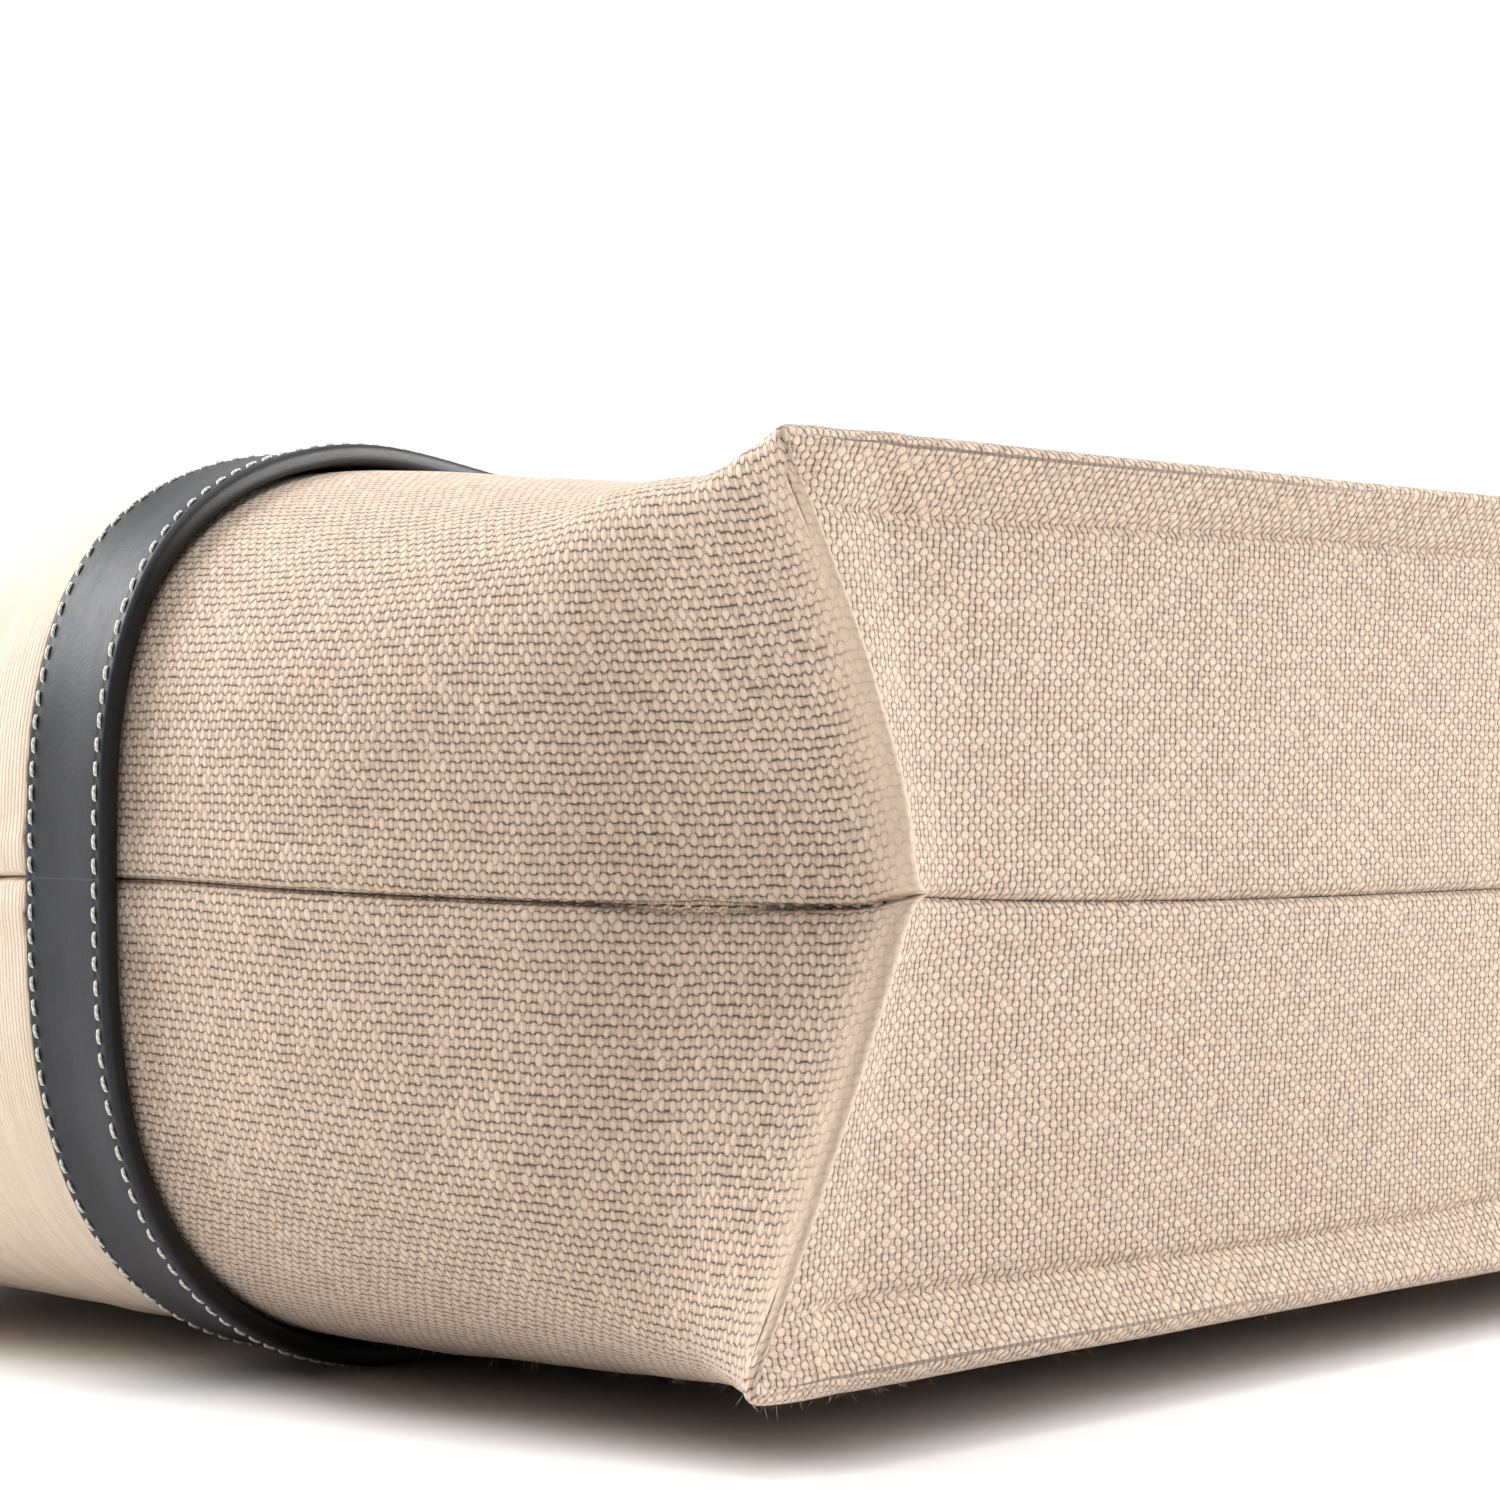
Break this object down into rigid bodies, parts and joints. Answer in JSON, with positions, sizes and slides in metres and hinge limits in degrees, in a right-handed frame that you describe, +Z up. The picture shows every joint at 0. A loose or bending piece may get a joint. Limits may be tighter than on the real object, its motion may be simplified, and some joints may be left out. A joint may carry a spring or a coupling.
{
  "type": "tote bag",
  "caption": "Large soft canvas tote bag lying filled on its back panel, with boxed bottom corners, a stitched leather band, a woven ribbon and two rolled handles.",
  "frame": {"origin": "on the resting side, in the middle of the flat underside of the lower leather band", "axes": "+X across the bag, +Y from the base towards the mouth, +Z up through the thickness as it lies"},
  "size_m": [0.4484, 0.4966, 0.1691],
  "materials": {
    "canvas": "coarse plain weave",
    "ribbon": "fine ribbed weave",
    "leather": "smooth, semi-matt",
    "tape": "twill tape",
    "lining": "fine cotton",
    "board": "matt"
  },
  "bodies": {
    "bag": {"front_canvas": "canvas", "back_canvas": "canvas", "front_ribbon": "ribbon", "back_ribbon": "ribbon", "lower_band": "leather", "mouth_binding": "leather", "left_seam_binding": "tape", "right_seam_binding": "tape", "base_seam_binding": "tape", "left_corner_binding": "tape", "right_corner_binding": "tape", "base_board": "board", "pocket_panel": "lining", "pocket_trim": "leather", "front_leg_left": "leather", "front_leg_right": "leather", "back_leg_left": "leather", "back_leg_right": "leather"},
    "front_handle": {"front_loop": "leather"},
    "back_handle": {"back_loop": "leather"}
  },
  "joints": [
    {"name": "front_handle_swing", "type": "hinge", "parent": "bag", "child": "front_handle", "pos_m": [0, 0.15875, 0.1274], "axis": [1, 0, 0], "range_deg": [-8, 150]},
    {"name": "back_handle_swing", "type": "hinge", "parent": "bag", "child": "back_handle", "pos_m": [0, 0.15875, 0.0041], "axis": [1, 0, 0], "range_deg": [-150, 8]}
  ]
}
